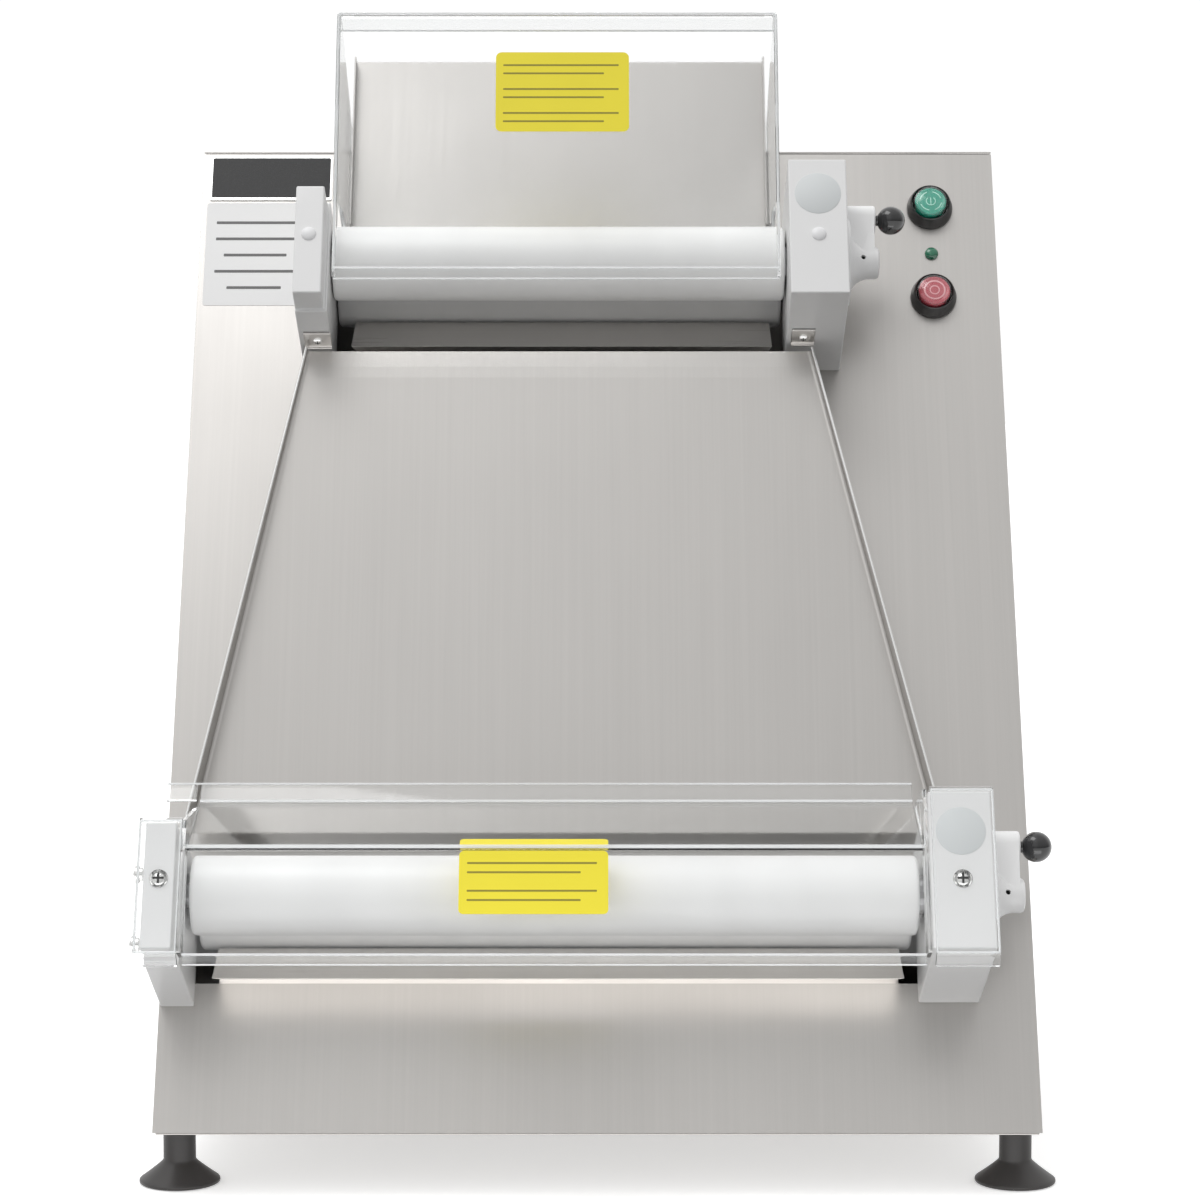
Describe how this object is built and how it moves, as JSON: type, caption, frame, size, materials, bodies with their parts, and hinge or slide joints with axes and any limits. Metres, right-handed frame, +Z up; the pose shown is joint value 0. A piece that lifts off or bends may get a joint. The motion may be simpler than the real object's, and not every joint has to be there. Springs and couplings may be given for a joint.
{
  "type": "dough_sheeter",
  "caption": "Countertop two-stage dough sheeter: leaning stainless body, upper and lower roller heads under clear guards, a sloping tray between them, gap levers and start and stop buttons",
  "frame": {"origin": "middle of the whole footprint, on the floor under the feet", "axes": "+X to the operator's right, +Y from the operator into the machine, +Z up"},
  "size_m": [0.5848, 0.5253, 0.7552],
  "materials": {
    "stainless_sheet": "satin sheet with a fine vertical grain",
    "housing_enamel": "light grey enamel over cast metal, slightly satin",
    "roller_polymer": "white food-safe polymer, turned smooth",
    "lever_plastic": "white moulded polymer, smooth",
    "black_plastic": "glossy black moulded plastic",
    "foot_rubber": "black rubber, semi-matte",
    "clear_plastic": "clear bent sheet, polished",
    "green_plastic": "translucent green cap",
    "red_plastic": "translucent red cap",
    "machined_steel": "turned and milled steel, lightly oiled",
    "motor_enamel": "dark grey enamel"
  },
  "bodies": {
    "root": {"front_panel": "stainless_sheet", "left_side_panel": "stainless_sheet", "right_side_panel": "stainless_sheet", "top_panel": "stainless_sheet", "rear_cover": "stainless_sheet", "base_plate": "stainless_sheet", "infeed_chute": "stainless_sheet", "transfer_tray": "stainless_sheet", "left_tray_bracket": "stainless_sheet", "right_tray_bracket": "stainless_sheet", "upper_scraper": "stainless_sheet", "lower_scraper": "stainless_sheet", "front_left_foot": "foot_rubber", "front_right_foot": "foot_rubber", "rear_left_foot": "foot_rubber", "rear_right_foot": "foot_rubber", "upper_left_housing": "housing_enamel", "upper_right_housing": "housing_enamel", "lower_left_housing": "housing_enamel", "lower_right_housing": "housing_enamel", "start_bezel": "black_plastic", "stop_bezel": "black_plastic", "power_inlet": "black_plastic", "upper_guard": "clear_plastic", "lower_guard": "clear_plastic", "pilot_light": "green_plastic", "upper_left_frame": "machined_steel", "upper_right_frame": "machined_steel", "lower_left_frame": "machined_steel", "lower_right_frame": "machined_steel", "upper_chain": "machined_steel", "lower_chain": "machined_steel", "drive_motor": "motor_enamel"},
    "upper_inner_roll": {"upper_inner_roller": "roller_polymer", "upper_inner_shaft": "machined_steel", "upper_inner_gear": "machined_steel", "upper_sprocket": "machined_steel"},
    "upper_carriage": {"upper_axle": "machined_steel", "upper_left_block": "machined_steel", "upper_right_block": "machined_steel"},
    "upper_outer_roll": {"upper_outer_roller": "roller_polymer", "upper_outer_gear": "machined_steel"},
    "upper_lever": {"upper_crank": "lever_plastic", "upper_crank_shaft": "machined_steel", "upper_knob": "black_plastic"},
    "lower_inner_roll": {"lower_inner_roller": "roller_polymer", "lower_inner_shaft": "machined_steel", "lower_inner_gear": "machined_steel", "lower_sprocket": "machined_steel"},
    "lower_carriage": {"lower_axle": "machined_steel", "lower_left_block": "machined_steel", "lower_right_block": "machined_steel"},
    "lower_outer_roll": {"lower_outer_roller": "roller_polymer", "lower_outer_gear": "machined_steel"},
    "lower_lever": {"lower_crank": "lever_plastic", "lower_crank_shaft": "machined_steel", "lower_knob": "black_plastic"},
    "drive": {"drive_shaft": "machined_steel"},
    "start_cap": {"start_button": "green_plastic"},
    "stop_cap": {"stop_button": "red_plastic"}
  },
  "joints": [
    {"name": "lower_inner_spin", "type": "hinge", "parent": "root", "child": "lower_inner_roll", "pos_m": [0, -0.13282, 0.16943], "axis": [1, 0, 0], "continuous": true},
    {"name": "lower_gap", "type": "slide", "parent": "root", "child": "lower_carriage", "axis": [0, -0.9357, 0.3529], "range_m": [-0.002, 0.005]},
    {"name": "lower_outer_spin", "type": "hinge", "parent": "lower_carriage", "child": "lower_outer_roll", "pos_m": [0, -0.18241, 0.18814], "axis": [1, 0, 0], "continuous": true},
    {"name": "lower_lever_turn", "type": "hinge", "parent": "root", "child": "lower_lever", "pos_m": [0, -0.18382, 0.18867], "axis": [1, 0, 0], "range_deg": [-34.4, 85.9]},
    {"name": "upper_inner_spin", "type": "hinge", "parent": "root", "child": "upper_inner_roll", "pos_m": [0, 0.08713, 0.56625], "axis": [1, 0, 0], "continuous": true},
    {"name": "upper_gap", "type": "slide", "parent": "root", "child": "upper_carriage", "axis": [0, -0.9357, 0.3529], "range_m": [-0.002, 0.005]},
    {"name": "upper_outer_spin", "type": "hinge", "parent": "upper_carriage", "child": "upper_outer_roll", "pos_m": [0, 0.03754, 0.58495], "axis": [1, 0, 0], "continuous": true},
    {"name": "upper_lever_turn", "type": "hinge", "parent": "root", "child": "upper_lever", "pos_m": [0, 0.03614, 0.58548], "axis": [1, 0, 0], "range_deg": [-34.4, 85.9]},
    {"name": "drive_spin", "type": "hinge", "parent": "root", "child": "drive", "pos_m": [0, 0.18028, 0.1475], "axis": [1, 0, 0], "continuous": true},
    {"name": "start_press", "type": "slide", "parent": "root", "child": "start_cap", "axis": [0, 0.8746, -0.4848], "range_m": [0, 0.004], "stiffness_N_per_m": 300, "springref_m": -0.002},
    {"name": "stop_press", "type": "slide", "parent": "root", "child": "stop_cap", "axis": [0, 0.8746, -0.4848], "range_m": [0, 0.004], "stiffness_N_per_m": 300, "springref_m": -0.002}
  ],
  "couplings": [
    {"joint": "lower_lever_turn", "follows": "lower_gap", "rad_per_m": 299.2},
    {"joint": "upper_lever_turn", "follows": "upper_gap", "rad_per_m": 299.2},
    {"joint": "lower_outer_spin", "follows": "lower_inner_spin", "ratio": -1},
    {"joint": "upper_inner_spin", "follows": "lower_inner_spin", "ratio": 1},
    {"joint": "upper_outer_spin", "follows": "lower_inner_spin", "ratio": -1},
    {"joint": "drive_spin", "follows": "lower_inner_spin", "ratio": 1.1333}
  ]
}
